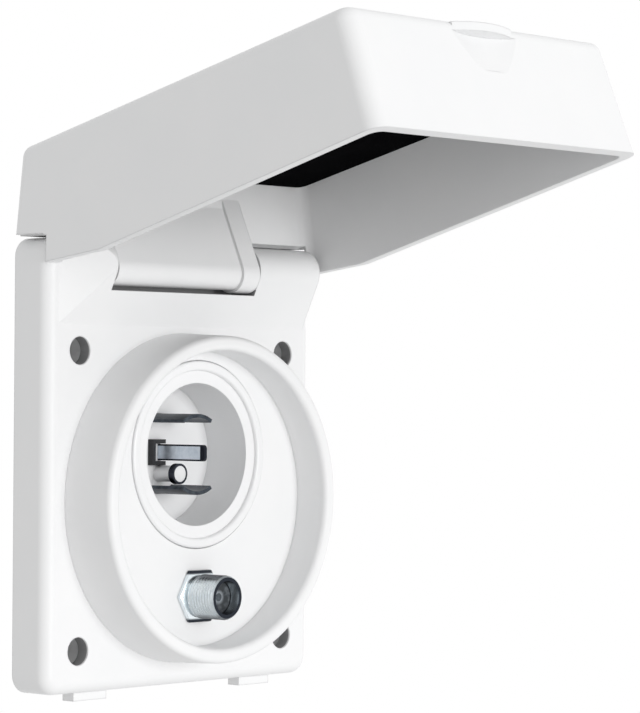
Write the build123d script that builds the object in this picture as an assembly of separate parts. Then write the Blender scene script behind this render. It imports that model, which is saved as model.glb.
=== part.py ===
from build123d import *
from math import acos, atan2, cos, degrees, hypot, radians, sin
import os

# Flush wall inlet: a plate with a round collar, a round socket and a coax connector in its recessed
# floor, and a deep flip-up lid.
# Millimetres. X runs to the right of someone facing the plate, Z is up, and the plate looks along -Y.
# The origin lies on the mounting plane (the wall), at the centre of the four fixing holes.
# Heights are measured outward from the wall, so a height h lies at Y = -h.

# Plate
PLATE_WIDTH = 81.0
PLATE_BOTTOM = -40.1
PLATE_TOP = 54.6
PLATE_THICKNESS = 10.0
PLATE_CORNER = 4.0
PLATE_EDGE = 2.6
HOLE_PITCH = 62.5
HOLE_D = 5.9
BOSS_R = 6.0
BOSS_BORE_R = 4.4
HOLLOW_WALL = 3.0
HOLLOW_FACE = 3.0
HOLLOW_TOP_INSET = 13.6
LUG_WIDTH = 9.6
LUG_HEIGHT = 1.8
LUG_DEPTH = 3.2
LUG_X = 25.2
LUG_SETBACK = 2.6

# Gasket in a rebate behind the plate
GASKET_THICKNESS = 1.4
REBATE_WALL = 1.6
GASKET_PLAY = 0.2

# Socket cup: the round collar, its recessed floor and the skirt that passes through plate and wall
COLLAR_BORE_R = 31.7
COLLAR_WALL = 3.1
COLLAR_HEIGHT = 12.9
COLLAR_DRAFT = 0.6
COLLAR_ROUND = 1.2
FLOOR_HEIGHT = 4.3
FLOOR_THICKNESS = 3.4
SKIRT_WALL = 2.4
SKIRT_CLEARANCE = 1.1
SKIRT_DEPTH = 6.5
CUP_FIT = 0.1

# Socket insert
SOCKET_Z = 9.4
SOCKET_BORE_R = 15.3
SOCKET_WALL = 1.8
SOCKET_DEPTH = 11.9
SOCKET_BASE = 2.6
SOCKET_FLANGE_R = 20.1
SOCKET_FLANGE_SEAT = 1.8
SOCKET_FLANGE_PROUD = 0.5
SOCKET_DISH_R = 18.0
SOCKET_DISH = 0.4
SOCKET_BEAD_ROUND = 0.6
SOCKET_FIT = 0.15
FLANGE_GROOVE = 0.12
LOCK_RING_WIDTH = 2.4
LOCK_RING_THICKNESS = 4.0
LOCK_RING_NOTCHES = 6

# Contacts in the socket
ARC_R = 8.3
ARC_HALF_ANGLE = 31.0
CONTACT_THICKNESS = 0.8
ARC_REACH = 11.6
BLADE_HEIGHT = 3.5
BLADE_REACH = 14.0
BLADE_Z = 0.3
CLIP_HEIGHT = 5.6
CLIP_WIDTH = 3.4
CLIP_REACH = 1.6
CLIP_GAP = 0.15
POST_R = 1.75
POST_Z = -4.3
POST_REACH = 6.4
EYELET_R = 2.25
EYELET_LENGTH = 1.4
SLOT_FIT = 0.05

# Tails and terminal screws behind the socket
TAIL_LENGTH = 8.0
TAIL_WIDTH = 6.0
TAIL_LAP = 1.0
SCREW_R = 1.5
SCREW_FIT = 0.05
SCREW_HEAD_R = 2.7
SCREW_HEAD = 1.8
SCREW_SLOT = 0.8
SCREW_TIP = 1.2
TERMINAL_NUT_AF = 5.5
TERMINAL_NUT = 2.2

# Coax bulkhead connector
COAX_Z = -20.9
COAX_R = 4.7625
COAX_REACH = 8.8
COAX_TAIL = 8.6
COAX_BORE_R = 3.6
COAX_RECESS = 2.6
COAX_HOLE_FIT = 0.2
COAX_HEX_AF = 11.1
COAX_FLANGE = 1.1
COAX_SHANK_R = 4.6
COAX_NUT = 2.4
COAX_THREAD_FIT = 0.05
LOCK_WASHER_R = 6.4
LOCK_WASHER = 0.8
COAX_CHAMFER = 0.5
COAX_PIN_R = 0.9
COAX_PIN_SETBACK = 1.4

# Hinge: pin, ears on the plate, knuckle on the lid
PIN_HEIGHT = 1.5
PIN_INSET = 6.0
PIN_R = 1.3
PIN_LEFT = -30.0
PIN_RIGHT = 36.2
PIN_RUNNING_FIT = 0.06
PIN_SEAT_FIT = 0.03
EAR_ROLL_R = 5.2
EAR_ROLL_HEIGHT = 0.2
EAR_FOOT_INSET = 17.8
EAR_SIDE_GAP = 1.7
EAR_TAPER = 11.6
EAR_CLEARANCE = 0.4
KNUCKLE_LEFT = -25.0
KNUCKLE_RIGHT = 17.6
KNUCKLE_END_GAP = 0.5
KNUCKLE_R = 3.6
RIB_R = 4.2
RIB_WIDTH = 5.2
POCKET_GAP = 0.4
POCKET_DEPTH = 3.4
KNUCKLE_WEB = 2.2
WEB_SINK = 0.3
KNUCKLE_MERGE = 9.4
RIB_MERGE = 11.4

# Lid, sized as it lies when shut over the plate
OPEN_ANGLE = 105.9
LID_SIDE_OVERHANG = 1.2
LID_SIDE_DRAFT = 0.8
LID_GAP = 0.3
LID_FAR_OVERHANG = 2.9
LID_FAR_DRAFT = 2.1
LID_NEAR_OVERHANG = 6.6
LID_NEAR_DRAFT = 9.1
LID_DEPTH_FAR = 25.3
LID_DEPTH_NEAR = 27.7
LID_CORNER = 3.4
LID_HEEL_CORNER = 0.8
LID_ROOF_ROUND = 2.6
LID_WALL = 2.5
LID_ROOF = 2.6
PARTITION_RIM_OFFSET = 0.4
PARTITION_ROOF_OFFSET = -3.0
PARTITION = 2.5
CAVITY_CORNER = 2.4
HEEL_GAP = 0.35
HEEL_TOP_GAP = 0.35
HEEL_SIDE_GAP = 0.6
HEEL_DROP = 5.3
HEEL_LENGTH = 16.0
LIP_WIDTH = 19.0
LIP_PROUD = 1.6
LIP_DROP = 0.6
LIP_THICKNESS = 1.9
SCOOP_DEPTH = 1.4
SCOOP_HEIGHT = 8.0

# Foam liner under the roof
LINER = 3.8
LINER_GAP = 0.25

FACE = PLATE_THICKNESS
FLOOR = FACE + FLOOR_HEIGHT
FLOOR_BACK = FLOOR - FLOOR_THICKNESS
RIM = FACE + COLLAR_HEIGHT
PIN_H = FACE + PIN_HEIGHT
PIN_Z = PLATE_TOP - PIN_INSET
LID_WIDTH = PLATE_WIDTH + 2 * LID_SIDE_OVERHANG
LID_ROOF_WIDTH = LID_WIDTH - 2 * LID_SIDE_DRAFT
LID_FAR_Z = PLATE_BOTTOM - LID_FAR_OVERHANG
LID_ROOF_FAR_Z = LID_FAR_Z + LID_FAR_DRAFT
LID_NEAR_Z = PLATE_TOP + LID_NEAR_OVERHANG
LID_ROOF_NEAR_Z = LID_NEAR_Z - LID_NEAR_DRAFT
PARTITION_RIM_Z = PIN_Z + PARTITION_RIM_OFFSET
PARTITION_ROOF_Z = PIN_Z + PARTITION_ROOF_OFFSET
EAR_END = LID_WIDTH / 2 - LID_WALL - EAR_SIDE_GAP
SOCKET_BOTTOM = FLOOR - SOCKET_DEPTH
SOCKET_BACK = SOCKET_BOTTOM - SOCKET_BASE
SOCKET_TUBE_R = SOCKET_BORE_R + SOCKET_WALL
LOCK_RING_R = SOCKET_TUBE_R + LOCK_RING_WIDTH
SKIRT_R = SOCKET_Z + LOCK_RING_R + SKIRT_CLEARANCE + SKIRT_WALL
THROUGH = 200.0
NEARLY = 0.01


def wall_plane(height):
    """A drawing plane parallel to the wall, at a height outward from it."""
    return Plane.XZ.offset(height)


def disc(radius, bottom, top, x=0.0, z=0.0):
    """A round solid standing off the wall, from one height to another."""
    return extrude(wall_plane(bottom) * Pos(x, z) * Circle(radius), top - bottom)


def ring(outer, inner, bottom, top, x=0.0, z=0.0):
    return disc(outer, bottom, top, x, z) - disc(inner, bottom, top, x, z)


def block(x0, x1, bottom, top, z0, z1):
    """A box between two X, two heights and two Z."""
    outline = Pos((x0 + x1) / 2, (z0 + z1) / 2) * Rectangle(x1 - x0, z1 - z0)
    return extrude(wall_plane(bottom) * outline, top - bottom)


def side_profile(points, x0, x1):
    """Extrudes an outline, given as (height, z) points, along X."""
    outline = Polyline(*[(-h, z) for h, z in points], close=True)
    return extrude(Plane.YZ.offset(x0) * make_face(outline), x1 - x0)


def rod(radius, height, z, x0, x1):
    """A round bar along X."""
    return extrude(Plane.YZ.offset(x0) * Pos(-height, z) * Circle(radius), x1 - x0)


def tangent_point(height, z, centre_h, centre_z, radius, side):
    """Where a line from (height, z) touches a circle; side is +1 or -1."""
    run_h = height - centre_h
    run_z = z - centre_z
    reach = hypot(run_h, run_z)
    bearing = atan2(run_z, run_h) + side * acos(radius / reach)
    return centre_h + radius * cos(bearing), centre_z + radius * sin(bearing)


def circles_at(part, height):
    """The round edges of a solid that lie at a height."""
    round_edges = part.edges().filter_by(GeomType.CIRCLE)
    return round_edges.filter_by_position(Axis.Y, -height - NEARLY, -height + NEARLY)


def hexagon(across_flats, bottom, top, x, z):
    outline = RegularPolygon(across_flats / 2, 6, major_radius=False)
    return extrude(wall_plane(bottom) * Pos(x, z) * outline, top - bottom)


def base_housing():
    """Plate and hinge ridge with its two ears, moulded as one piece and cored from behind."""
    height = PLATE_TOP - PLATE_BOTTOM
    middle = (PLATE_TOP + PLATE_BOTTOM) / 2
    outline = Pos(0, middle) * RectangleRounded(PLATE_WIDTH, height, PLATE_CORNER)
    plate = extrude(wall_plane(0) * outline, PLATE_THICKNESS)
    plate = fillet(plate.faces().sort_by(Axis.Y)[0].edges(), PLATE_EDGE)

    body = plate + hinge_ridge()
    for side in (-1, 1):
        x = side * LUG_X
        top = FACE - LUG_SETBACK
        body += block(x - LUG_WIDTH / 2, x + LUG_WIDTH / 2, top - LUG_DEPTH, top,
                      PLATE_BOTTOM - LUG_HEIGHT, PLATE_BOTTOM + LUG_HEIGHT)

    body -= back_hollow()
    body -= back_sheet(REBATE_WALL)
    body -= disc(SKIRT_R + CUP_FIT, 0, FACE)
    for x, z in hole_centres():
        body -= disc(HOLE_D / 2, 0, FACE, x, z)
        body -= disc(BOSS_BORE_R, 0, FACE - HOLLOW_FACE, x, z)

    pocket_bottom = PIN_Z - RIB_R - POCKET_GAP
    body -= block(KNUCKLE_LEFT - KNUCKLE_END_GAP, KNUCKLE_RIGHT + KNUCKLE_END_GAP,
                  FACE - POCKET_DEPTH, THROUGH, pocket_bottom, THROUGH)
    body -= rod(PIN_R + PIN_SEAT_FIT, PIN_H, PIN_Z, PIN_LEFT, EAR_END)
    return body


def hole_centres():
    half = HOLE_PITCH / 2
    return [(x, z) for x in (-half, half) for z in (-half, half)]


def back_sheet(inset):
    """A sheet of the gasket's thickness on the plate's back, inset from the plate's outline."""
    width = PLATE_WIDTH - 2 * inset
    height = PLATE_TOP - PLATE_BOTTOM - 2 * inset
    outline = RectangleRounded(width, height, PLATE_CORNER - inset / 2)
    outline = Pos(0, (PLATE_TOP + PLATE_BOTTOM) / 2) * outline
    return extrude(wall_plane(0) * outline, GASKET_THICKNESS)


def socket_cup():
    """Round collar, recessed floor and rear skirt in one piece, seated on the plate."""
    rim_r = COLLAR_BORE_R + COLLAR_WALL
    collar = Cone(rim_r + COLLAR_DRAFT, rim_r, COLLAR_HEIGHT)
    cup = Pos(0, -FACE - COLLAR_HEIGHT / 2, 0) * Rot(90, 0, 0) * collar
    cup += disc(SKIRT_R, -SKIRT_DEPTH, FACE)
    cup -= disc(COLLAR_BORE_R, FLOOR, RIM)
    cup -= disc(SKIRT_R - SKIRT_WALL, -SKIRT_DEPTH, FLOOR_BACK)
    cup = fillet(circles_at(cup, RIM), COLLAR_ROUND)
    cup -= disc(SOCKET_TUBE_R + SOCKET_FIT, FLOOR_BACK, FLOOR, 0, SOCKET_Z)
    cup -= disc(SOCKET_FLANGE_R + FLANGE_GROOVE, FLOOR - SOCKET_FLANGE_SEAT, FLOOR, 0, SOCKET_Z)
    cup -= disc(COAX_SHANK_R + COAX_HOLE_FIT, FLOOR_BACK, FLOOR, 0, COAX_Z)
    return cup


def back_hollow():
    """The space cored out of the plate's back, round the cup and the screw bosses."""
    bottom = PLATE_BOTTOM + HOLLOW_WALL
    top = PLATE_TOP - HOLLOW_TOP_INSET
    outline = Pos(0, (top + bottom) / 2)
    outline *= RectangleRounded(PLATE_WIDTH - 2 * HOLLOW_WALL, top - bottom, PLATE_CORNER / 2)
    hollow = extrude(wall_plane(0) * outline, FACE - HOLLOW_FACE)
    hollow -= disc(COLLAR_BORE_R + COLLAR_WALL, 0, FACE)
    for x, z in hole_centres():
        hollow -= disc(BOSS_R, 0, FACE, x, z)
    return hollow


def hinge_ridge():
    """The ridge that holds the pin: a ramp up from the plate, rolled over at its top edge."""
    roll_h = FACE + EAR_ROLL_HEIGHT
    roll_z = PLATE_TOP - EAR_ROLL_R
    foot_z = PLATE_TOP - EAR_FOOT_INSET
    ramp = tangent_point(FACE, foot_z, roll_h, roll_z, EAR_ROLL_R, 1)
    root = FACE - PLATE_EDGE
    ridge = side_profile([(root, foot_z), (FACE, foot_z), ramp, (roll_h, roll_z),
                          (roll_h, PLATE_TOP), (root, PLATE_TOP)], -EAR_END, EAR_END)
    ridge += rod(EAR_ROLL_R, roll_h, roll_z, -EAR_END, EAR_END)
    peak = roll_h + EAR_ROLL_R
    taper = Polyline((-EAR_END, -FACE), (-EAR_END + EAR_TAPER, -peak), (-EAR_END, -peak), close=True)
    ridge -= extrude(Plane.XY.offset(foot_z) * make_face(taper), EAR_FOOT_INSET)
    return ridge


def wall_gasket():
    """Rubber sheet in the plate's rebate, flush with the plate's back edge."""
    sheet = back_sheet(REBATE_WALL + GASKET_PLAY)
    sheet -= disc(SKIRT_R + GASKET_PLAY, 0, GASKET_THICKNESS)
    for x, z in hole_centres():
        sheet -= disc(HOLE_D / 2, 0, GASKET_THICKNESS, x, z)
    return sheet


def open_pose(shut):
    """Turns a solid from its place on the shut lid to the open lid."""
    return shut.rotate(Axis((0, -PIN_H, PIN_Z), (1, 0, 0)), -OPEN_ANGLE)


def turned(h, z):
    """Where a point (height, z) of the shut lid lies when the lid is open."""
    turn = radians(OPEN_ANGLE)
    return (PIN_H + (h - PIN_H) * cos(turn) - (z - PIN_Z) * sin(turn),
            PIN_Z + (h - PIN_H) * sin(turn) + (z - PIN_Z) * cos(turn))


def lid_loft(rim_width, roof_width, far_z, near_z, roof_far, roof_near, rim_h, corner, heel_corner):
    """A tapered box between the rim and a sloping roof given by its two ends."""
    rim = Rectangle(rim_width, near_z - far_z)
    rim = fillet(rim.vertices().sort_by(Axis.Y)[:2], corner)
    rim = fillet(rim.vertices().sort_by(Axis.Y)[-2:], heel_corner)
    rim = wall_plane(rim_h) * Pos(0, (far_z + near_z) / 2) * rim
    roof = RectangleRounded(roof_width, (roof_near - roof_far).length, corner)
    return loft([rim, roof_plane(roof_far, roof_near) * roof])


def roof_plane(far, near):
    """A drawing plane along the sloping roof, centred between its far and near ends, facing outward."""
    return Plane(origin=(far + near) * 0.5, x_dir=(1, 0, 0), z_dir=Vector(1, 0, 0).cross(near - far))


def lid():
    """Deep box lid with a hinge end, a knuckle and a thumb lip, moulded as one piece."""
    rim_h = FACE + LID_GAP
    roof_far = Vector(0, -rim_h - LID_DEPTH_FAR, LID_ROOF_FAR_Z)
    roof_near = Vector(0, -rim_h - LID_DEPTH_NEAR, LID_ROOF_NEAR_Z)
    shell = lid_loft(LID_WIDTH, LID_ROOF_WIDTH, LID_FAR_Z, LID_NEAR_Z, roof_far, roof_near, rim_h,
                     LID_CORNER, LID_HEEL_CORNER)
    shell = fillet(shell.faces().sort_by(Axis.Y)[0].edges(), LID_ROOF_ROUND)
    shell -= thumb_scoop()
    shell += thumb_lip()
    shell -= lid_cavity(LID_ROOF)
    shell -= back_channel()
    shell = open_pose(shell)

    shell -= block(-THROUGH, THROUGH, -THROUGH, FACE + HEEL_GAP, -THROUGH, PLATE_TOP + HEEL_TOP_GAP)
    inside = LID_WIDTH / 2 - LID_WALL
    for x0, x1 in ((-THROUGH, -inside), (inside, THROUGH)):
        shell -= block(x0, x1, -THROUGH, FACE - HEEL_SIDE_GAP, -THROUGH, PLATE_TOP + HEEL_SIDE_GAP)
    heel_z = PLATE_TOP - HEEL_DROP
    rise = radians(OPEN_ANGLE - 90)
    rim_z = PIN_Z - (PIN_HEIGHT - LID_GAP) / cos(rise) + (HEEL_LENGTH - PIN_HEIGHT) * sin(rise) / cos(rise)
    shell -= side_profile([(0, 0), (FACE + HEEL_LENGTH, 0), (FACE + HEEL_LENGTH, rim_z), (FACE, heel_z),
                           (0, heel_z)], -THROUGH, THROUGH)
    ear_reach = EAR_ROLL_R + hypot(PIN_HEIGHT - EAR_ROLL_HEIGHT, PIN_Z - PLATE_TOP + EAR_ROLL_R)
    shell -= rod(ear_reach + EAR_CLEARANCE, PIN_H, PIN_Z, -EAR_END - EAR_CLEARANCE, EAR_END + EAR_CLEARANCE)
    shell += knuckle(KNUCKLE_R, KNUCKLE_MERGE, KNUCKLE_LEFT, KNUCKLE_RIGHT)
    shell += knuckle(RIB_R, RIB_MERGE, KNUCKLE_RIGHT - RIB_WIDTH, KNUCKLE_RIGHT)
    shell -= rod(PIN_R + PIN_RUNNING_FIT, PIN_H, PIN_Z, KNUCKLE_LEFT, KNUCKLE_RIGHT)
    return shell


def lid_cavity(roof):
    """The hollow of the shut lid, under a roof of a given thickness."""
    far, near = cavity_roof(roof)
    return lid_loft(LID_WIDTH - 2 * LID_WALL, cavity_roof_width(), LID_FAR_Z + LID_WALL,
                    PARTITION_RIM_Z, far, near, FACE + LID_GAP, CAVITY_CORNER, CAVITY_CORNER)


def cavity_roof_width():
    return LID_ROOF_WIDTH - 2 * LID_WALL


def cavity_roof(roof):
    """The far and near ends of the hollow's roof on the shut lid."""
    slope = (LID_DEPTH_NEAR - LID_DEPTH_FAR) / (LID_ROOF_NEAR_Z - LID_ROOF_FAR_Z)
    far_z = LID_ROOF_FAR_Z + LID_WALL
    far_h = FACE + LID_GAP + LID_DEPTH_FAR + slope * LID_WALL - roof
    near_h = far_h + slope * (PARTITION_ROOF_Z - far_z)
    return Vector(0, -far_h, far_z), Vector(0, -near_h, PARTITION_ROOF_Z)


def back_channel():
    """The hollow between the partition that carries the knuckle and the outer hinge-end wall."""
    rim_h = FACE + LID_GAP
    top_h = rim_h + LID_DEPTH_NEAR - 2 * LID_ROOF
    rise = top_h - rim_h
    flare = (LID_NEAR_Z - LID_ROOF_NEAR_Z) / LID_DEPTH_NEAR
    lean = (PARTITION_RIM_Z - PARTITION_ROOF_Z) / LID_DEPTH_NEAR
    inner_z = PARTITION_RIM_Z + PARTITION
    outer_z = LID_NEAR_Z - LID_WALL
    outline = [(rim_h, inner_z), (rim_h, outer_z),
               (top_h, outer_z - flare * rise), (top_h, inner_z - lean * rise)]
    half = LID_ROOF_WIDTH / 2 - LID_WALL
    return side_profile(outline, -half, half)


def lip_top():
    return FACE + LID_GAP + LID_DEPTH_FAR - LIP_DROP


def bow_radius(depth):
    """The radius of an arc as wide as the lip that bows by a depth."""
    half = LIP_WIDTH / 2
    return (half * half + depth * depth) / (2 * depth)


def thumb_lip():
    """A thin crescent lip on the lid's end wall, along the roof's edge."""
    half = LIP_WIDTH / 2
    radius = bow_radius(LIP_PROUD)
    lip = disc(radius, lip_top() - LIP_THICKNESS, lip_top(), 0, LID_ROOF_FAR_Z - LIP_PROUD + radius)
    return lip & block(-half, half, FACE, THROUGH, LID_FAR_Z - LIP_PROUD, LID_ROOF_FAR_Z + LID_WALL)


def thumb_scoop():
    """The hollow under the lip, deepest at the lip and fading out towards the rim."""
    radius = bow_radius(SCOOP_DEPTH)
    wall_run = SCOOP_HEIGHT * LID_FAR_DRAFT / LID_DEPTH_FAR
    fade = Cone(radius, radius - SCOOP_DEPTH - wall_run, SCOOP_HEIGHT)
    under_lip = lip_top() - LIP_THICKNESS
    return Pos(0, SCOOP_HEIGHT / 2 - under_lip, LID_ROOF_FAR_Z + SCOOP_DEPTH - radius) * Rot(-90, 0, 0) * fade


def knuckle(radius, merge, x0, x1):
    """A barrel round the pin with its web up to the partition, drawn on the open lid."""
    merge_z = PLATE_TOP + merge
    low = turned(FACE + LID_GAP, PARTITION_RIM_Z)
    high = turned(FACE + LID_GAP + LID_DEPTH_NEAR - LID_ROOF, PARTITION_ROOF_Z)
    share = (merge_z - low[1]) / (high[1] - low[1])
    face_h = low[0] + share * (high[0] - low[0]) - WEB_SINK
    back_h = face_h - KNUCKLE_WEB
    front = tangent_point(face_h, merge_z, PIN_H, PIN_Z, radius, -1)
    back = tangent_point(back_h, merge_z, PIN_H, PIN_Z, KNUCKLE_R, 1)
    web = side_profile([(face_h, merge_z), front, (PIN_H, PIN_Z), back, (back_h, merge_z)], x0, x1)
    return web + rod(radius, PIN_H, PIN_Z, x0, x1)


def lid_liner():
    """Foam sheet bonded under the roof, a little smaller than the hollow."""
    far, near = cavity_roof(LID_ROOF)
    outline = RectangleRounded(cavity_roof_width() - 2 * LINER_GAP, (near - far).length - 2 * LINER_GAP,
                               CAVITY_CORNER)
    sheet = extrude(roof_plane(far, near) * outline, -LINER)
    return open_pose(sheet)


def socket_insert():
    """Round insert: flange seated in the floor, deep bore, base with slots and a key post."""
    bead = FLOOR + SOCKET_FLANGE_PROUD
    body = disc(SOCKET_FLANGE_R, FLOOR - SOCKET_FLANGE_SEAT, bead, 0, SOCKET_Z)
    body -= disc(SOCKET_DISH_R, FLOOR - SOCKET_DISH, bead, 0, SOCKET_Z)
    body = fillet(circles_at(body, bead), SOCKET_BEAD_ROUND)
    body += disc(SOCKET_TUBE_R, SOCKET_BACK, FLOOR - SOCKET_DISH, 0, SOCKET_Z)
    body -= disc(SOCKET_BORE_R, SOCKET_BOTTOM, FLOOR, 0, SOCKET_Z)
    post_z = SOCKET_Z + POST_Z
    body += disc(POST_R, SOCKET_BOTTOM, SOCKET_BOTTOM + POST_REACH, 0, post_z)
    for side in (-1, 1):
        body -= arc_strip(side, CONTACT_THICKNESS + 2 * SLOT_FIT, SLOT_FIT, SOCKET_BACK, SOCKET_BOTTOM)
    half_t = CONTACT_THICKNESS / 2 + SLOT_FIT
    half_h = BLADE_HEIGHT / 2 + SLOT_FIT
    blade_z = SOCKET_Z + BLADE_Z
    body -= block(-half_t, half_t, SOCKET_BACK, SOCKET_BOTTOM, blade_z - half_h, blade_z + half_h)
    return body


def arc_strip(side, thickness, end_play, bottom, top):
    """A curved strip concentric with the socket; side is +1 above the centre, -1 below."""
    spread = ARC_HALF_ANGLE + degrees(end_play / ARC_R)
    middle = side * 90
    inner = ARC_R - thickness / 2
    outer = ARC_R + thickness / 2
    first = radians(middle - spread)
    last = radians(middle + spread)
    inside = CenterArc((0, 0), inner, middle - spread, 2 * spread)
    outside = CenterArc((0, 0), outer, middle - spread, 2 * spread)
    near = Line((inner * cos(first), inner * sin(first)), (outer * cos(first), outer * sin(first)))
    far = Line((inner * cos(last), inner * sin(last)), (outer * cos(last), outer * sin(last)))
    outline = make_face(inside + outside + near + far)
    return extrude(wall_plane(bottom) * Pos(0, SOCKET_Z) * outline, top - bottom)


def tail(z):
    """The flat lug that a contact shows behind the insert, with its screw hole."""
    low, high = z - CONTACT_THICKNESS / 2, z + CONTACT_THICKNESS / 2
    lug = block(-TAIL_WIDTH / 2, TAIL_WIDTH / 2, SOCKET_BACK - TAIL_LENGTH, SOCKET_BACK, low, high)
    return lug - upright(SCREW_R + SCREW_FIT, tail_height(), low, high)


def tail_height():
    return SOCKET_BACK - TAIL_LENGTH + TAIL_WIDTH / 2


def upright(radius, height, z0, z1, x=0.0):
    """A round bar along Z."""
    return Pos(x, -height, (z0 + z1) / 2) * Cylinder(radius, z1 - z0)


def arc_contact(side):
    z = SOCKET_Z + side * ARC_R
    return arc_strip(side, CONTACT_THICKNESS, 0, SOCKET_BACK - TAIL_LAP, SOCKET_BOTTOM + ARC_REACH) + tail(z)


def contact_blade():
    """Flat centre blade on edge, with a tail turned flat behind the insert."""
    z = SOCKET_Z + BLADE_Z
    half_t = CONTACT_THICKNESS / 2
    blade = block(-half_t, half_t, SOCKET_BACK, SOCKET_BOTTOM + BLADE_REACH,
                  z - BLADE_HEIGHT / 2, z + BLADE_HEIGHT / 2)
    tip = blade.edges().filter_by(Axis.X).sort_by(Axis.Y)[:2]
    return fillet(tip, CONTACT_THICKNESS) + tail(z)


def blade_clip():
    """Dark U-shaped clip seated on the socket's base round the blade's root."""
    z = SOCKET_Z + BLADE_Z
    half_t = CONTACT_THICKNESS / 2 + SLOT_FIT
    half_h = BLADE_HEIGHT / 2 + CLIP_GAP
    top = SOCKET_BOTTOM + CLIP_REACH
    clip = block(-CLIP_WIDTH, half_t, SOCKET_BOTTOM, top, z - CLIP_HEIGHT / 2, z + CLIP_HEIGHT / 2)
    return clip - block(-CLIP_WIDTH + CONTACT_THICKNESS, half_t, SOCKET_BOTTOM, top, z - half_h, z + half_h)


def key_eyelet():
    """Thin metal ring pressed on the end of the key post."""
    top = SOCKET_BOTTOM + POST_REACH
    return ring(EYELET_R, POST_R, top - EYELET_LENGTH, top, 0, SOCKET_Z + POST_Z)


def insert_lock_ring():
    """Ring nut on the insert's tube that pulls the flange down on the floor."""
    inner = SOCKET_TUBE_R + SCREW_FIT
    nut = ring(LOCK_RING_R, inner, FLOOR_BACK - LOCK_RING_THICKNESS, FLOOR_BACK, 0, SOCKET_Z)
    notch = LOCK_RING_WIDTH / 2
    for index in range(LOCK_RING_NOTCHES):
        turn = radians(360 * index / LOCK_RING_NOTCHES)
        middle = LOCK_RING_R * cos(turn), SOCKET_Z + LOCK_RING_R * sin(turn)
        nut -= disc(notch, FLOOR_BACK - LOCK_RING_THICKNESS, FLOOR_BACK, *middle)
    return nut


def terminal_screw(z):
    """Slotted pan-head screw down through a tail."""
    height = tail_height()
    seat = z + CONTACT_THICKNESS / 2
    foot = z - CONTACT_THICKNESS / 2 - TERMINAL_NUT - SCREW_TIP
    head = upright(SCREW_HEAD_R, height, seat, seat + SCREW_HEAD)
    head = fillet(head.edges().sort_by(Axis.Z)[-1], SCREW_HEAD / 3)
    half = SCREW_SLOT / 2
    head -= block(-SCREW_HEAD_R, SCREW_HEAD_R, height - half, height + half,
                  seat + SCREW_HEAD / 2, seat + SCREW_HEAD)
    return head + upright(SCREW_R, height, foot, seat)


def terminal_nut(z):
    top = z - CONTACT_THICKNESS / 2
    outline = RegularPolygon(TERMINAL_NUT_AF / 2, 6, major_radius=False)
    nut = extrude(Plane.XY.offset(top - TERMINAL_NUT) * Pos(0, -tail_height()) * outline, TERMINAL_NUT)
    return nut - upright(SCREW_R + SCREW_FIT, tail_height(), top - TERMINAL_NUT, top)


def coax_body():
    """Double-ended barrel: thin hex flange on the floor, shank through it, threads at both ends."""
    front = FLOOR + COAX_REACH
    barrel = disc(COAX_R, FLOOR + COAX_FLANGE, front, 0, COAX_Z)
    barrel = chamfer(barrel.edges().filter_by(GeomType.CIRCLE).sort_by(Axis.Y)[0], COAX_CHAMFER)
    thread = disc(COAX_R, coax_rear(), coax_nut_back(), 0, COAX_Z)
    thread = chamfer(thread.edges().filter_by(GeomType.CIRCLE).sort_by(Axis.Y)[-1], COAX_CHAMFER)
    body = barrel + hexagon(COAX_HEX_AF, FLOOR, FLOOR + COAX_FLANGE, 0, COAX_Z)
    body += disc(COAX_SHANK_R, coax_nut_back(), FLOOR, 0, COAX_Z)
    body += thread
    return body - disc(COAX_BORE_R, coax_rear(), front, 0, COAX_Z)


def coax_nut_back():
    return FLOOR_BACK - LOCK_WASHER - COAX_NUT


def coax_rear():
    return coax_nut_back() - COAX_TAIL


def coax_insulators():
    """Bushes that carry the centre contact, one at each end of the barrel."""
    front = FLOOR + COAX_REACH - COAX_RECESS
    rear = coax_rear() + COAX_RECESS
    middle = (front + rear) / 2
    bushes = []
    for bottom, top in ((middle, front), (rear, middle)):
        bushes.append(ring(COAX_BORE_R - SLOT_FIT, COAX_PIN_R, bottom, top, 0, COAX_Z))
    return bushes


def coax_pin():
    """Centre contact sleeve along the barrel's axis."""
    front = FLOOR + COAX_REACH - COAX_RECESS - COAX_PIN_SETBACK
    rear = coax_rear() + COAX_RECESS + COAX_PIN_SETBACK
    return disc(COAX_PIN_R - SLOT_FIT, rear, front, 0, COAX_Z)


def coax_nut():
    """Hex nut behind the floor, on the lock washer."""
    bottom = coax_nut_back()
    nut = hexagon(COAX_HEX_AF, bottom, bottom + COAX_NUT, 0, COAX_Z)
    return nut - disc(COAX_SHANK_R + COAX_THREAD_FIT, bottom, bottom + COAX_NUT, 0, COAX_Z)


def hinge_pin():
    return rod(PIN_R, PIN_H, PIN_Z, PIN_LEFT, PIN_RIGHT)


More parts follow.
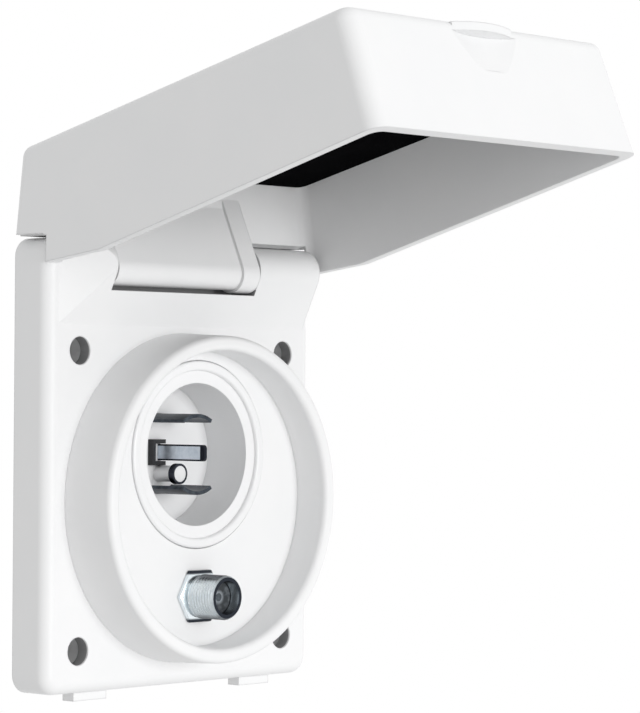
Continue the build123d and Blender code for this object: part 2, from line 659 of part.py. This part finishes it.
def parts():
    front_bush, rear_bush = coax_insulators()
    pieces = {
        "base_housing": base_housing(),
        "socket_cup": socket_cup(),
        "wall_gasket": wall_gasket(),
        "lid": lid(),
        "lid_liner": lid_liner(),
        "hinge_pin": hinge_pin(),
        "socket_insert": socket_insert(),
        "insert_lock_ring": insert_lock_ring(),
        "contact_upper": arc_contact(1),
        "contact_lower": arc_contact(-1),
        "contact_blade": contact_blade(),
        "blade_clip": blade_clip(),
        "key_eyelet": key_eyelet(),
        "coax_body": coax_body(),
        "coax_nut": coax_nut(),
        "coax_lock_washer": ring(LOCK_WASHER_R, COAX_SHANK_R + COAX_HOLE_FIT, FLOOR_BACK - LOCK_WASHER,
                                 FLOOR_BACK, 0, COAX_Z),
        "coax_insulator_front": front_bush,
        "coax_insulator_rear": rear_bush,
        "coax_pin": coax_pin(),
    }
    tails = {"upper": SOCKET_Z + ARC_R, "blade": SOCKET_Z + BLADE_Z, "lower": SOCKET_Z - ARC_R}
    for name, z in tails.items():
        pieces["terminal_screw_" + name] = terminal_screw(z)
        pieces["terminal_nut_" + name] = terminal_nut(z)
    return pieces


os.makedirs("parts", exist_ok=True)
for name, piece in parts().items():
    export_step(piece, f"parts/{name}.step")
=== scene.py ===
import bmesh
import bpy
from math import ceil, cos, radians, sin, tau
from mathutils import Matrix, Vector, noise


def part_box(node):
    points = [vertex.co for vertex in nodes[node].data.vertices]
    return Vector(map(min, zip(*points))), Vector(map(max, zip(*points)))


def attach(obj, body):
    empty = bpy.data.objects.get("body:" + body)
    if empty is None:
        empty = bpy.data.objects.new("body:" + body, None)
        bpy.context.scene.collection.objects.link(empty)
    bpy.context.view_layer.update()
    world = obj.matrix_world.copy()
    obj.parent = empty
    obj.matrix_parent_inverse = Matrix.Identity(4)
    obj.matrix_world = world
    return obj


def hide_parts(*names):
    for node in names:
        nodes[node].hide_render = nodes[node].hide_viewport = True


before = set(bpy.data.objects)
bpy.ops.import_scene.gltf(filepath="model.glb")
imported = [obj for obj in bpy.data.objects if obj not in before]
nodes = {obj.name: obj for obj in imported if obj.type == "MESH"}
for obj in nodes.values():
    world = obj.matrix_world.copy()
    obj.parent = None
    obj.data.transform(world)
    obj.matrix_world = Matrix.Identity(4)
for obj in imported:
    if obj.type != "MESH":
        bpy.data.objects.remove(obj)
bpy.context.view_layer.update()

# Camera
# The photograph was taken from the plate's left, level with the socket, with a long lens. The fit to
# it gives these numbers, and the eye's place is counted from the middle of the plate's face.
TURN, PITCH, ROLL = radians(48.383), radians(-0.691), radians(0.365)
EYE_RIGHT, EYE_UP, EYE_BACK = 0.029307, 0.030423, 0.659138
PLATE_FRONT = -0.010
LENS_PIXELS = 3060.77
PHOTO_HEIGHT = 713
SENSOR = 36
NEAREST_SEEN = 0.05

backward = Vector((-sin(TURN) * cos(PITCH), -cos(TURN) * cos(PITCH), sin(PITCH)))
level = Vector((cos(TURN), -sin(TURN), 0.0))
upward = Vector((sin(TURN) * sin(PITCH), cos(TURN) * sin(PITCH), cos(PITCH)))
cam_x = level * cos(ROLL) + upward * sin(ROLL)
cam_y = upward * cos(ROLL) - level * sin(ROLL)
eye = Vector((0, PLATE_FRONT, 0)) + cam_x * EYE_RIGHT + cam_y * EYE_UP + backward * EYE_BACK
camera = bpy.data.objects.new("camera", bpy.data.cameras.new("camera"))
camera.data.lens = LENS_PIXELS * SENSOR / PHOTO_HEIGHT
camera.data.sensor_width = SENSOR
camera.data.clip_start = NEAREST_SEEN
camera.matrix_world = Matrix.Translation(eye) @ Matrix((cam_x, cam_y, backward)).transposed().to_4x4()
bpy.context.collection.objects.link(camera)
scene = bpy.context.scene
scene.camera = camera
scene.view_settings.view_transform = "Standard"


# Light
# A white room lights the object from all round, and one wide softbox shines on its front.
# What the camera, a mirror-like face or a clear piece sees of the room is pure white.
PURE_WHITE = (1, 1, 1, 1)
ROOM_STRENGTH = 0.69
BACKDROP_STRENGTH = 1.0
SOFTBOX_STRENGTH = 1.36
SOFTBOX_SPREAD = radians(24)
SOFTBOX_TOWARDS = Vector((0.0, 1.0, -0.03))


class Sock:
    """A node socket that can be added, subtracted, multiplied and so on like a number."""

    def __init__(self, graph, socket):
        self.graph, self.socket = graph, socket

    def maths(self, operation, a, b=0.0):
        return self.graph.node("Math", {0: a, 1: b}, operation=operation)

    def __add__(self, other):
        return self.maths("ADD", self, other)

    def __radd__(self, other):
        return self.maths("ADD", other, self)

    def __sub__(self, other):
        return self.maths("SUBTRACT", self, other)

    def __rsub__(self, other):
        return self.maths("SUBTRACT", other, self)

    def __mul__(self, other):
        return self.maths("MULTIPLY", self, other)

    def __rmul__(self, other):
        return self.maths("MULTIPLY", other, self)

    def __pow__(self, other):
        return self.maths("POWER", self, other)

    def __gt__(self, other):
        return self.maths("GREATER_THAN", self, other)

    def __lt__(self, other):
        return self.maths("LESS_THAN", self, other)

    def most(self, other):
        return self.maths("MAXIMUM", self, other)

    def size(self):
        return self.maths("ABSOLUTE", self)


class Graph:
    """The nodes of one material, or of the room."""

    def __init__(self, tree):
        self.tree = tree
        tree.nodes.clear()

    def node(self, kind, ins=None, give=0, **settings):
        """Makes a node, sets it, feeds its sockets with values or links, and gives one output."""
        made = self.tree.nodes.new("ShaderNode" + kind)
        for key, value in settings.items():
            setattr(made, key, value)
        for key, value in (ins or {}).items():
            if isinstance(value, Sock):
                self.tree.links.new(value.socket, made.inputs[key])
            else:
                made.inputs[key].default_value = value
        return Sock(self, made.outputs[give]) if len(made.outputs) else made

    def noise(self, where, scale, detail, rough=0.55):
        ins = {"Vector": where, "Scale": scale, "Detail": detail, "Roughness": rough}
        return self.node("TexNoise", ins, "Fac")

    def seen(self):
        """1 for what the camera, a mirror-like face or a clear piece sees, and 0 for other light."""
        found = self.node("LightPath", give="Is Camera Ray")
        for ray in ("Is Glossy Ray", "Is Transmission Ray"):
            found = found.most(self.node("LightPath", give=ray))
        return found

    def across(self, where):
        """The three numbers of a position or a direction."""
        return [self.node("SeparateXYZ", {"Vector": where}, axis) for axis in "XYZ"]

    def mix(self, share, a, b):
        """Colour a where the share is 0, colour b where it is 1: the node's sockets 6 and 7."""
        return self.node("Mix", {0: share, 6: a, 7: b}, 2, data_type="RGBA")

    def stretch(self, value, low, high):
        """0 up to the low end of a range, 1 from its high end, and straight between them."""
        return self.node("MapRange", {"Value": value, "From Min": low, "From Max": high})

    def bump(self, height, strength, distance, rounding=None):
        """The surface's direction with a fine relief on it, and with its sharp edges rounded."""
        ins = {"Strength": strength, "Distance": distance, "Height": height}
        if rounding:
            ins["Normal"] = self.node("Bevel", {"Radius": rounding}, samples=6)
        return self.node("Bump", ins)


world = bpy.data.worlds.new("white room")
scene.world = world
world.use_nodes = True
graph = Graph(world.node_tree)
room = graph.node("Background", {"Color": PURE_WHITE, "Strength": ROOM_STRENGTH})
backdrop = graph.node("Background", {"Color": PURE_WHITE, "Strength": BACKDROP_STRENGTH})
room_or_backdrop = graph.node("MixShader", {0: graph.seen(), 1: room, 2: backdrop})
graph.node("OutputWorld", {"Surface": room_or_backdrop})

softbox = bpy.data.objects.new("front softbox", bpy.data.lights.new("front softbox", "SUN"))
softbox.data.energy = SOFTBOX_STRENGTH
softbox.data.angle = SOFTBOX_SPREAD
softbox.rotation_euler = SOFTBOX_TOWARDS.to_track_quat("-Z", "Y").to_euler()
bpy.context.collection.objects.link(softbox)


# Studio floor
# A plain pale floor far below the object, which hangs on a wall, so it only returns soft light.
# It looks white wherever no shadow falls on it.
FLOOR_HALF = 3.0
FLOOR_HEIGHT = -1.0
FLOOR_PALE = (0.9, 0.9, 0.9, 1)
FLOOR_GLOW = 1.5
GLOW_SHARE = 0.5


def surface(name, build):
    """A new material whose shader is made by build(graph, object coordinates)."""
    made = bpy.data.materials.new(name)
    made.use_nodes = True
    graph = Graph(made.node_tree)
    graph.node("OutputMaterial", {"Surface": build(graph, graph.node("TexCoord", give="Object"))})
    return made


def wear(target, made):
    """Gives an object this one material."""
    target.data.materials.clear()
    target.data.materials.append(made)


def floor_paint(graph, where):
    paint = graph.node("BsdfDiffuse", {"Color": FLOOR_PALE})
    white_glow = graph.node("Emission", {"Color": PURE_WHITE, "Strength": FLOOR_GLOW})
    return graph.node("MixShader", {0: graph.seen() * GLOW_SHARE, 1: paint, 2: white_glow})


ground = bmesh.new()
bmesh.ops.create_grid(ground, x_segments=1, y_segments=1, size=FLOOR_HALF,
                      matrix=Matrix.Translation((0, 0, FLOOR_HEIGHT)))
floor = bpy.data.objects.new("studio_floor", bpy.data.meshes.new("studio_floor"))
ground.to_mesh(floor.data)
ground.free()
bpy.context.collection.objects.link(floor)
wear(floor, surface("floor_paint", floor_paint))


# Plate, socket cup and lid
# Three injection mouldings in white satin plastic: the plate with its hinge ears, the round collar
# and floor set into it, and the deep lid. The mould leaves a very fine grain on their outside.
PLASTIC_DULL = (0.86, 0.865, 0.87, 1)
PLASTIC_CLEAN = (0.885, 0.885, 0.887, 1)
# Dark grey painted into the plate's colour as shade, deep in the fixing holes and along the foot of
# the hinge pocket.
HOLLOW_SHADE_GREY = (0.32, 0.32, 0.325, 1)
HOLE_SPREAD = 0.03125
SHADE_R = 0.0032
SHADE_FROM_LIP = 0.0004
POCKET_LEFT, POCKET_RIGHT = -0.0256, 0.0182
POCKET_FOOT = 0.0439
SHADE_BAND = 0.0013


def white_plastic(painted_shade=None):
    """The white moulding, darkened to grey as painted shade where the given mask of (x, y, z) is 1.
    """
    def build(graph, where):
        flow = graph.noise(where, scale=9, detail=2)
        cloud = graph.noise(where, scale=60, detail=3)
        grain = graph.noise(where, scale=5200, detail=2)
        patchy = graph.stretch(cloud * 0.6 + flow * 0.4, low=0.35, high=0.65)
        tint = graph.mix(patchy, PLASTIC_DULL, PLASTIC_CLEAN)
        if painted_shade:
            # Painted shade: the colour goes dark grey where the mask is 1.
            tint = graph.mix(painted_shade(*graph.across(where)), tint, HOLLOW_SHADE_GREY)
        return graph.node("BsdfPrincipled", {
            "Base Color": tint, "Roughness": 0.34 + cloud * 0.12, "Specular IOR Level": 0.22,
            "Normal": graph.bump(grain, strength=0.06, distance=0.0001, rounding=0.0005)})
    return build


def plate_hollow_shade(x, y, z):
    """1 where shade is painted: in the fixing holes, short of their lips, and at the pocket's foot.
    """
    from_hole = (x.size() - HOLE_SPREAD) ** 2 + (z.size() - HOLE_SPREAD) ** 2
    in_hole = (from_hole < SHADE_R ** 2) * (y > PLATE_FRONT + SHADE_FROM_LIP)
    across_pocket = (x > POCKET_LEFT) * (x < POCKET_RIGHT)
    at_foot = (z > POCKET_FOOT) * (z < POCKET_FOOT + SHADE_BAND)
    return in_hole.most(across_pocket * at_foot)


# The plate's material carries painted shade in its fixing holes and at its hinge pocket.
wear(nodes["base_housing"], surface("white_plate", white_plastic(plate_hollow_shade)))
white = surface("white_plastic", white_plastic())
for name in ("socket_cup", "lid"):
    wear(nodes[name], white)


# Foam liner
# Black closed-cell foam sheet glued under the lid's roof. It is die-cut, so its rim is a little
# crushed, and its face swells gently between the places where the glue holds it.
CELL_WALL = (0.0025, 0.0025, 0.003, 1)
CELL_SKIN = (0.007, 0.007, 0.0075, 1)
FOAM_EDGE = 0.0008
FOAM_STEP = 0.002
FOAM_SWELL = 0.00035
LEAST_DIP = 0.05
WAVES = 55
DIMPLES = 400
DIMPLE_SHARE = 0.12
SAME_POINT = 1e-6
ON_CUT = 1e-7
ON_FACE = 1e-5


def foam(graph, where):
    cells = graph.node("TexVoronoi", {"Vector": where, "Scale": 1500.0}, "Distance")
    cloud = graph.noise(where, scale=90, detail=4)
    return graph.node("BsdfPrincipled", {
        "Base Color": graph.mix(cloud, CELL_WALL, CELL_SKIN),
        "Roughness": 0.9 + cloud * 0.08, "Specular IOR Level": 0.0,
        "Normal": graph.bump(cells, strength=0.4, distance=0.0002)})


def everything(maker):
    """All the points, edges and faces of a bmesh, as its cutting operator wants them."""
    return maker.verts[:] + maker.edges[:] + maker.faces[:]


def show(name, maker, made, body, stands_for):
    """Turns a bmesh into a smooth-shaded object on a body, in place of a CAD node."""
    mesh = bpy.data.meshes.new(name)
    maker.to_mesh(mesh)
    maker.free()
    mesh.shade_smooth()
    piece = bpy.data.objects.new(name, mesh)
    bpy.context.collection.objects.link(piece)
    wear(piece, made)
    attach(piece, body)
    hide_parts(stands_for)
    return piece


pad = bmesh.new()
pad.from_mesh(nodes["lid_liner"].data)
bmesh.ops.remove_doubles(pad, verts=pad.verts, dist=SAME_POINT)
bmesh.ops.dissolve_limit(pad, angle_limit=radians(1), verts=pad.verts, edges=pad.edges)
broad = sorted(pad.faces, key=lambda face: face.calc_area())[-2:]
under = min(broad, key=lambda face: face.normal.z)
outward = under.normal.copy()
middle = under.calc_center_median()
rims = [edge for face in broad for edge in face.edges]
bmesh.ops.bevel(pad, geom=rims, offset=FOAM_EDGE, offset_type="OFFSET", segments=3, profile=0.5,
                affect="EDGES", material=-1)
sideways = Vector((1, 0, 0))
for axis in (sideways, sideways.cross(outward)):
    reach = max(abs((v.co - middle).dot(axis)) for v in pad.verts)
    count = int(reach / FOAM_STEP)
    for step in range(-count, count + 1):
        bmesh.ops.bisect_plane(pad, geom=everything(pad), dist=ON_CUT,
                               plane_co=middle + axis * step * FOAM_STEP, plane_no=axis)
for v in pad.verts:
    if abs((v.co - middle).dot(outward)) < ON_FACE:
        dip = 0.5 + 0.5 * noise.noise(v.co * WAVES) + DIMPLE_SHARE * noise.noise(v.co * DIMPLES)
        v.co -= outward * FOAM_SWELL * min(max(dip, LEAST_DIP), 1.0)
liner = show("foam_liner", pad, surface("black_foam", foam), "lid_body", "lid_liner")


# Wall gasket
# Black rubber sheet in the rebate behind the plate. The plate's four screws press it against the
# wall, and it keeps the rain out.
RUBBER_DARK = (0.008, 0.008, 0.009, 1)
RUBBER_WORN = (0.02, 0.02, 0.021, 1)


def rubber(graph, where):
    cloud = graph.noise(where, scale=120, detail=4)
    grain = graph.noise(where, scale=2600, detail=3)
    return graph.node("BsdfPrincipled", {
        "Base Color": graph.mix(cloud, RUBBER_DARK, RUBBER_WORN),
        "Roughness": 0.6 + cloud * 0.2, "Specular IOR Level": 0.3,
        "Normal": graph.bump(grain, strength=0.25, distance=0.0001)})


wear(nodes["wall_gasket"], surface("black_rubber", rubber))


# Hinge pin and terminal screws
# Plain zinc-plated steel: the pin pressed through both ears, which the lid's knuckle turns on, and
# the screw and nut that clamp a wire on each contact's tail.
STEEL_BRIGHT = (0.6, 0.6, 0.6, 1)
STEEL_DULL = (0.42, 0.42, 0.42, 1)


def metal(bright, dull, roughness):
    """A plated metal that is bright in streaks and dull between them."""
    def build(graph, where):
        streak = graph.noise(where, scale=700, detail=5)
        return graph.node("BsdfPrincipled", {
            "Base Color": graph.mix(graph.stretch(streak, low=0.3, high=0.75), dull, bright),
            "Metallic": 1.0, "Roughness": roughness + streak * 0.15,
            "Normal": graph.bump(streak, strength=0.08, distance=0.00005)})
    return build


steel = surface("steel", metal(STEEL_BRIGHT, STEEL_DULL, roughness=0.28))
for name in ("hinge_pin", "terminal_screw_upper", "terminal_screw_blade", "terminal_screw_lower",
             "terminal_nut_upper", "terminal_nut_blade", "terminal_nut_lower"):
    wear(nodes[name], steel)


# Socket insert, its lock ring and the rear coax bush
# Moulded in a slightly glossier white plastic than the plate. The ring screws onto the insert from
# behind and holds it in the floor.
INSERT_DULL = (0.85, 0.855, 0.86, 1)
INSERT_CLEAN = (0.88, 0.88, 0.885, 1)


def insert_plastic(graph, where):
    cloud = graph.noise(where, scale=140, detail=3)
    grain = graph.noise(where, scale=6000, detail=2)
    return graph.node("BsdfPrincipled", {
        "Base Color": graph.mix(cloud, INSERT_DULL, INSERT_CLEAN),
        "Roughness": 0.24 + cloud * 0.12,
        "Normal": graph.bump(grain, strength=0.05, distance=0.0001, rounding=0.0003)})


insert_white = surface("insert_plastic", insert_plastic)
for name in ("socket_insert", "insert_lock_ring", "coax_insulator_rear"):
    wear(nodes[name], insert_white)


# Contacts
# Two curved strips and a blade stamped from plated sheet. The strips' dark colours are painted shade,
# the blade's cut edges and tip are painted dark as shade, and the blade's broad faces are pale.
# Painted shade: the strips' dark colours.
STRIP_BRIGHT = (0.09, 0.105, 0.12, 1)
STRIP_DULL = (0.03, 0.035, 0.045, 1)
BLADE_BRIGHT = (0.74, 0.8, 0.87, 1)
BLADE_DULL = (0.58, 0.65, 0.73, 1)
# Painted shade colour for the blade's cut edges and tip.
BLADE_SHADE = (0.02, 0.022, 0.03, 1)
BLADE_HALF = 0.00175
SHADED_EDGE = 0.00035
SHADED_TIP = 0.0013

shaded_strip_metal = surface("shaded_strip", metal(STRIP_BRIGHT, STRIP_DULL, roughness=0.35))
for name in ("contact_upper", "contact_lower"):
    wear(nodes[name], shaded_strip_metal)

clip_low, clip_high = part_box("blade_clip")
blade_z = (clip_low.z + clip_high.z) / 2
blade_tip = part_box("contact_blade")[0].y


def blade_metal(graph, where):
    y, z = graph.across(where)[1:]
    # Painted shade on the blade's cut edges and tip.
    cut_edge = (z - blade_z).size() > BLADE_HALF - SHADED_EDGE
    dark = cut_edge.most(y < blade_tip + SHADED_TIP)
    streak = graph.noise(where, scale=900, detail=5)
    pale = graph.mix(graph.stretch(streak, low=0.3, high=0.7), BLADE_DULL, BLADE_BRIGHT)
    return graph.node("BsdfPrincipled", {
        "Base Color": graph.mix(dark, pale, BLADE_SHADE), "Metallic": 1.0,
        "Roughness": 0.32 + streak * 0.15,
        "Normal": graph.bump(streak, strength=0.08, distance=0.00005)})


wear(nodes["contact_blade"], surface("blade_metal", blade_metal))


# Blade clip and key eyelet
# A small dark moulded clip grips the root of the blade, and a metal ring is pressed over the end of
# the white key post; the ring's dark colours are painted shade.
CLIP_DARK = (0.008, 0.009, 0.011, 1)
CLIP_WORN = (0.02, 0.021, 0.024, 1)
# Painted shade: the eyelet ring's dark colours.
EYELET_BRIGHT = (0.05, 0.055, 0.07, 1)
EYELET_DULL = (0.02, 0.022, 0.03, 1)


def dark_plastic(graph, where):
    cloud = graph.noise(where, scale=400, detail=3)
    return graph.node("BsdfPrincipled", {
        "Base Color": graph.mix(cloud, CLIP_DARK, CLIP_WORN), "Roughness": 0.45 + cloud * 0.2})


wear(nodes["blade_clip"], surface("dark_plastic", dark_plastic))
wear(nodes["key_eyelet"], surface("shaded_dark_metal", metal(EYELET_BRIGHT, EYELET_DULL, roughness=0.35)))


# Coax connector
# Nickel-plated brass turned from hexagon bar, with a rolled 32-to-the-inch thread at both ends.
# Its hexagon sits on the floor, a nut holds it from behind, and a bush in its mouth holds the pin.
CREST_R = 0.0047625
THREAD_PITCH = 0.0254 / 32
THREAD_DEPTH = 0.0002
THREAD_STEPS = 40
RUN_IN = 1.5
SPARE_TURNS = 2
RIDGE_FOOT, RIDGE_TOP = 0.12, 0.42
END_CHAMFER = 0.0005
END_FALL = END_CHAMFER / 3
BORE_R = 0.0036
SHANK_R = 0.0046
FRONT_REACH = 0.0088
FLANGE = 0.0011
FLANGE_FLATS = 0.0111
FLANGE_EASE = 0.00025
SAME_HEIGHT = 1e-7
ON_END = 1e-8
NICKEL_BRIGHT = (0.87, 0.92, 0.94, 1)
NICKEL_DULL = (0.74, 0.81, 0.85, 1)
# Colour painted in as shade and as dark reflection on the nickel.
NICKEL_PAINTED_DARK = (0.03, 0.035, 0.045, 1)
SQUARE_ON = 0.9
TIP_BAND = 0.0007
BORE_SHADE_DEPTH = 0.0024
SHADE_BLUR = 0.0002
BUSH_PALE = (0.42, 0.46, 0.5, 1)
BUSH_DARK = (0.015, 0.018, 0.022, 1)
BUSH_SPOT = 0.0017
BUSH_BLUR = 0.0009
PIN_BRIGHT = (0.8, 0.84, 0.88, 1)
PIN_DULL = (0.6, 0.66, 0.7, 1)


def spun(maker, outline):
    """A closed ring turned from an outline of (radius, height) points."""
    corners = [maker.verts.new((r, 0, h)) for r, h in outline]
    edges = [maker.edges.new((corners[i - 1], corners[i])) for i in range(len(corners))]
    bmesh.ops.spin(maker, geom=corners + edges, cent=(0, 0, 0), axis=(0, 0, 1), angle=tau, steps=64,
                   use_merge=True)


def open_edges(maker, height):
    """The open edges that lie at a height."""
    return [edge for edge in maker.edges
            if edge.is_boundary and all(abs(v.co.z - height) < SAME_HEIGHT for v in edge.verts)]


def draw_in(maker, edges, radius, height):
    """Extrudes an open edge loop to a circle at another radius and height, and gives its edges."""
    grown = bmesh.ops.extrude_edge_only(maker, edges=edges)["geom"]
    for v in (g for g in grown if isinstance(g, bmesh.types.BMVert)):
        v.co = Vector((v.co.x, v.co.y, 0)).normalized() * radius + Vector((0, 0, height))
    return [g for g in grown if isinstance(g, bmesh.types.BMEdge) and g.is_boundary]


def thread(low, high):
    """A threaded sleeve: a ridge swept up a helix, cut square, chamfered and closed by its bore."""
    maker = bmesh.new()
    root_r = CREST_R - THREAD_DEPTH
    ridge = ((root_r, 0), (root_r, RIDGE_FOOT), (CREST_R, RIDGE_TOP),
             (CREST_R, 1 - RIDGE_TOP), (root_r, 1 - RIDGE_FOOT), (root_r, 1))
    corners = [maker.verts.new((r, 0, low + (h - RUN_IN) * THREAD_PITCH)) for r, h in ridge]
    edges = [maker.edges.new(pair) for pair in zip(corners, corners[1:])]
    turns = ceil((high - low) / THREAD_PITCH) + SPARE_TURNS
    bmesh.ops.spin(maker, geom=corners + edges, cent=(0, 0, 0), axis=(0, 0, 1), angle=tau * turns,
                   steps=THREAD_STEPS * turns, dvec=(0, 0, THREAD_PITCH / THREAD_STEPS),
                   use_merge=False)
    bmesh.ops.remove_doubles(maker, verts=maker.verts, dist=SAME_HEIGHT)
    foot, top = low + END_CHAMFER, high - END_CHAMFER
    for height, side in ((foot, -1), (top, 1)):
        bmesh.ops.bisect_plane(maker, geom=everything(maker), dist=ON_END,
                               plane_co=(0, 0, height), plane_no=(0, 0, side), clear_outer=True)
    ends = []
    for edges, end in ((open_edges(maker, foot), low), (open_edges(maker, top), high)):
        for radius in (root_r - END_FALL, BORE_R):
            edges = draw_in(maker, edges, radius, end)
        ends += edges
    bmesh.ops.bridge_loops(maker, edges=ends)
    bmesh.ops.recalc_face_normals(maker, faces=maker.faces)
    return maker


def hexagon(low, high):
    """The bored hexagon with its outer edges eased, flats across Z when it stands in its place."""
    maker = bmesh.new()
    half_flats = FLANGE_FLATS / 2
    twelfth = radians(30)
    outer = bmesh.ops.create_circle(maker, segments=6, radius=half_flats / cos(twelfth))["verts"]
    inner = bmesh.ops.create_circle(maker, segments=48, radius=BORE_R)["verts"]
    bmesh.ops.rotate(maker, verts=outer, cent=(0, 0, 0), matrix=Matrix.Rotation(twelfth, 3, "Z"))
    bmesh.ops.translate(maker, verts=outer + inner, vec=(0, 0, low))
    bmesh.ops.bridge_loops(maker, edges=maker.edges[:])
    grown = bmesh.ops.extrude_face_region(maker, geom=maker.faces[:])["geom"]
    bmesh.ops.translate(maker, verts=[g for g in grown if isinstance(g, bmesh.types.BMVert)],
                        vec=(0, 0, high - low))
    bmesh.ops.recalc_face_normals(maker, faces=maker.faces)
    outside = [edge for edge in maker.edges if all(v.co.xy.length > half_flats for v in edge.verts)]
    bmesh.ops.bevel(maker, geom=outside, offset=FLANGE_EASE, offset_type="OFFSET", segments=2,
                    profile=0.5, affect="EDGES", material=-1)
    return maker


def join(maker, *others):
    """Adds other bmeshes to this one."""
    for other in others:
        mesh = bpy.data.meshes.new("joining")
        other.to_mesh(mesh)
        other.free()
        maker.from_mesh(mesh)
        bpy.data.meshes.remove(mesh)


low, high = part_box("coax_body")
front, rear = -low.y, -high.y
axis_z = (low.z + high.z) / 2
seat = front - FRONT_REACH
nut_back = -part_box("coax_nut")[1].y

coax = bmesh.new()
spun(coax, [(BORE_R, nut_back), (SHANK_R, nut_back), (SHANK_R, seat), (BORE_R, seat)])
bmesh.ops.recalc_face_normals(coax, faces=coax.faces)
join(coax, hexagon(seat, seat + FLANGE), thread(seat + FLANGE, front), thread(rear, nut_back))
lay_down = Matrix.Translation((0, 0, axis_z)) @ Matrix.Rotation(radians(90), 4, "X")
bmesh.ops.transform(coax, verts=coax.verts, matrix=lay_down)


def nickel_plate(graph, where):
    """Bright plating, with painted shade at its tip and deep in its bore, and painted dark
    reflections on the faces that look up or down and beyond the barrel's crest.
    """
    x, y, z = graph.across(where)
    facing_y, facing_z = graph.across(graph.node("TexCoord", give="Normal"))[1:]
    height = z - axis_z
    # Painted shade at the tip and in the bore; painted dark reflections on faces that look up or down
    # and beyond the crest.
    tip = (facing_y < -SQUARE_ON) * (y < TIP_BAND - front)
    bore = (x ** 2 + height ** 2 < (BORE_R + SHADE_BLUR) ** 2) * (y > BORE_SHADE_DEPTH - front)
    above = graph.stretch(height.size(), low=CREST_R - SHADE_BLUR, high=CREST_R + SHADE_BLUR)
    turned = graph.stretch(facing_z.size(), low=0.7, high=0.93)
    shade = turned.most(tip).most(bore).most(above)
    streak = graph.noise(where, scale=700, detail=5)
    pale = graph.mix(graph.stretch(streak, low=0.3, high=0.75), NICKEL_DULL, NICKEL_BRIGHT)
    return graph.node("BsdfPrincipled", {
        "Base Color": graph.mix(shade, pale, NICKEL_PAINTED_DARK), "Metallic": 1.0,
        "Roughness": 0.12 + streak * 0.15,
        "Normal": graph.bump(streak, strength=0.08, distance=0.00005)})


def bush(graph, where):
    """Dark grey plastic, paler in a soft round spot about the pin."""
    x, _, z = graph.across(where)
    from_axis = (x ** 2 + (z - axis_z) ** 2) ** 0.5
    cloud = graph.noise(where, scale=900, detail=3)
    spot = graph.stretch(BUSH_SPOT - from_axis, low=0.0, high=BUSH_BLUR)
    worn = graph.stretch(cloud, low=0.45, high=0.75)
    return graph.node("BsdfPrincipled", {
        "Base Color": graph.mix(spot * 0.7 + worn * 0.3, BUSH_DARK, BUSH_PALE),
        "Roughness": 0.35 + cloud * 0.2})


nickel = surface("bright_nickel", nickel_plate)
connector = show("coax_connector", coax, nickel, "base", "coax_body")
connector.data.set_sharp_from_angle(angle=radians(40))
for name in ("coax_nut", "coax_lock_washer"):
    wear(nodes[name], nickel)
wear(nodes["coax_insulator_front"], surface("grey_bush", bush))
wear(nodes["coax_pin"], surface("pin_metal", metal(PIN_BRIGHT, PIN_DULL, roughness=0.25)))
